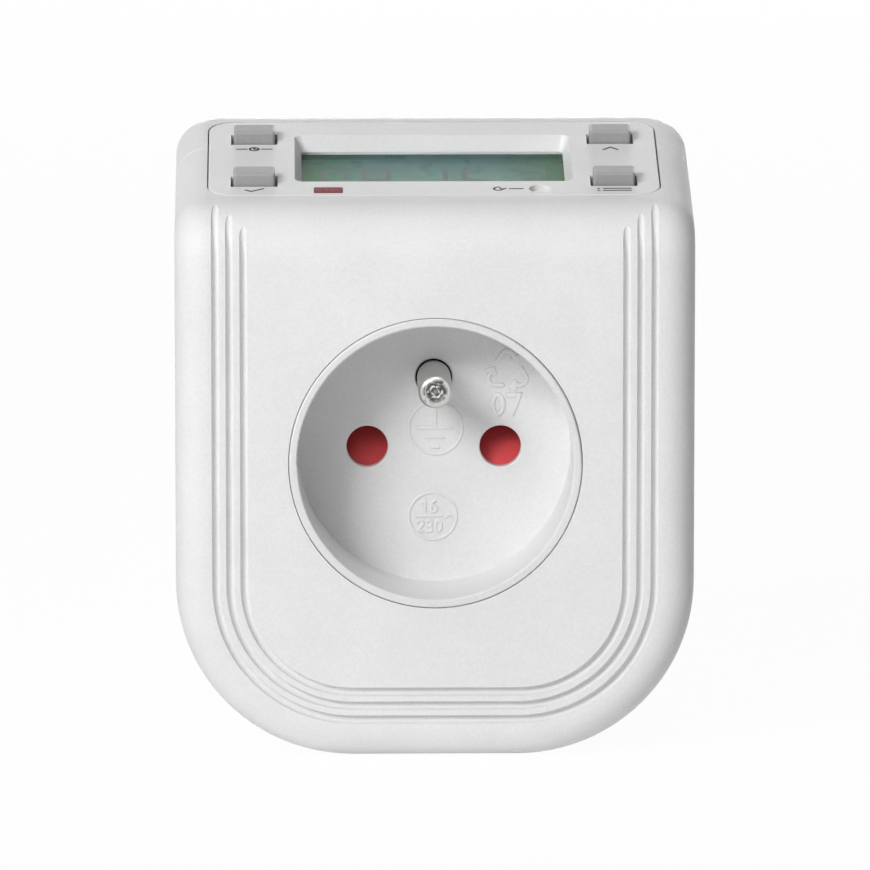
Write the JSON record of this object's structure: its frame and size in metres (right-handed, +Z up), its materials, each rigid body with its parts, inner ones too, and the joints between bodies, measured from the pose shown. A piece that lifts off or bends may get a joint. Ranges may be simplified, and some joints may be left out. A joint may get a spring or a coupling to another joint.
{
  "type": "plug-in digital timer switch",
  "caption": "White plug-in timer switch: sloping top panel with a display and push keys, an earthed round outlet with a shutter in front, and a mains plug behind.",
  "frame": {"origin": "middle of the plug's end face, on the axis that plug and outlet share", "axes": "+X to the user's right, +Y into the wall along the plug's pins, +Z up"},
  "size_m": [0.0734, 0.079, 0.0868],
  "materials": {
    "white_plastic": "fine matt",
    "key_plastic": "satin",
    "shutter_plastic": "satin",
    "lamp_plastic": "polished",
    "nickel": "nickel plated",
    "contact_brass": "bright",
    "screw_steel": "zinc plated",
    "carrier_plastic": "matt",
    "clear_plastic": "clear",
    "display": "grey green",
    "connector_rubber": "matt",
    "board_laminate": "lacquered",
    "black_plastic": "satin",
    "yellow_plastic": "satin",
    "blue_plastic": "satin",
    "brown_plastic": "satin",
    "grey_cable": "satin"
  },
  "bodies": {
    "housing": {"front_housing": "white_plastic", "rear_housing": "white_plastic", "control_panel": "white_plastic", "socket_insert": "white_plastic", "lamp_lens": "lamp_plastic", "indicator_lamp": "lamp_plastic", "earth_pin": "nickel", "live_plug_pin": "nickel", "neutral_plug_pin": "nickel", "live_contact": "contact_brass", "neutral_contact": "contact_brass", "plug_earth_strip": "contact_brass", "plug_earth_sleeve": "contact_brass", "earth_link": "contact_brass", "housing_screws": "screw_steel", "carrier_screws": "screw_steel", "board_screws": "screw_steel", "shutter_spring": "screw_steel", "quartz_crystal": "screw_steel", "backup_battery": "screw_steel", "contact_carrier": "carrier_plastic", "plug_insert": "carrier_plastic", "display_holder": "carrier_plastic", "switch_bodies": "carrier_plastic", "display_lens": "clear_plastic", "display_glass": "display", "display_connector": "connector_rubber", "control_board": "board_laminate", "power_board": "board_laminate", "controller_chip": "black_plastic", "relay": "black_plastic", "storage_capacitor": "black_plastic", "film_capacitor": "yellow_plastic", "varistor": "blue_plastic", "neutral_wire": "blue_plastic", "live_wire": "brown_plastic", "ribbon_cable": "grey_cable"},
    "clock_key": {"clock_button": "key_plastic", "clock_plunger": "carrier_plastic"},
    "set_key": {"set_button": "key_plastic", "set_plunger": "carrier_plastic"},
    "up_key": {"up_button": "key_plastic", "up_plunger": "carrier_plastic"},
    "program_key": {"program_button": "key_plastic", "program_plunger": "carrier_plastic"},
    "reset_key": {"reset_button": "white_plastic", "reset_plunger": "carrier_plastic"},
    "shutter_gate": {"shutter": "shutter_plastic"}
  },
  "joints": [
    {"name": "clock_press", "type": "slide", "parent": "housing", "child": "clock_key", "axis": [0, 0.225, -0.9744], "range_m": [0, 0.0006], "stiffness_N_per_m": 1200, "springref_m": -0.0004},
    {"name": "set_press", "type": "slide", "parent": "housing", "child": "set_key", "axis": [0, 0.225, -0.9744], "range_m": [0, 0.0006], "stiffness_N_per_m": 1200, "springref_m": -0.0004},
    {"name": "up_press", "type": "slide", "parent": "housing", "child": "up_key", "axis": [0, 0.225, -0.9744], "range_m": [0, 0.0006], "stiffness_N_per_m": 1200, "springref_m": -0.0004},
    {"name": "program_press", "type": "slide", "parent": "housing", "child": "program_key", "axis": [0, 0.225, -0.9744], "range_m": [0, 0.0006], "stiffness_N_per_m": 1200, "springref_m": -0.0004},
    {"name": "reset_press", "type": "slide", "parent": "housing", "child": "reset_key", "axis": [0, 0.225, -0.9744], "range_m": [0, 0.0006], "stiffness_N_per_m": 1200, "springref_m": -0.0004},
    {"name": "shutter_slide", "type": "slide", "parent": "housing", "child": "shutter_gate", "axis": [0, 0, -1], "range_m": [0, 0.0066], "stiffness_N_per_m": 150, "springref_m": -0.004, "deforming": ["shutter_spring"]}
  ]
}
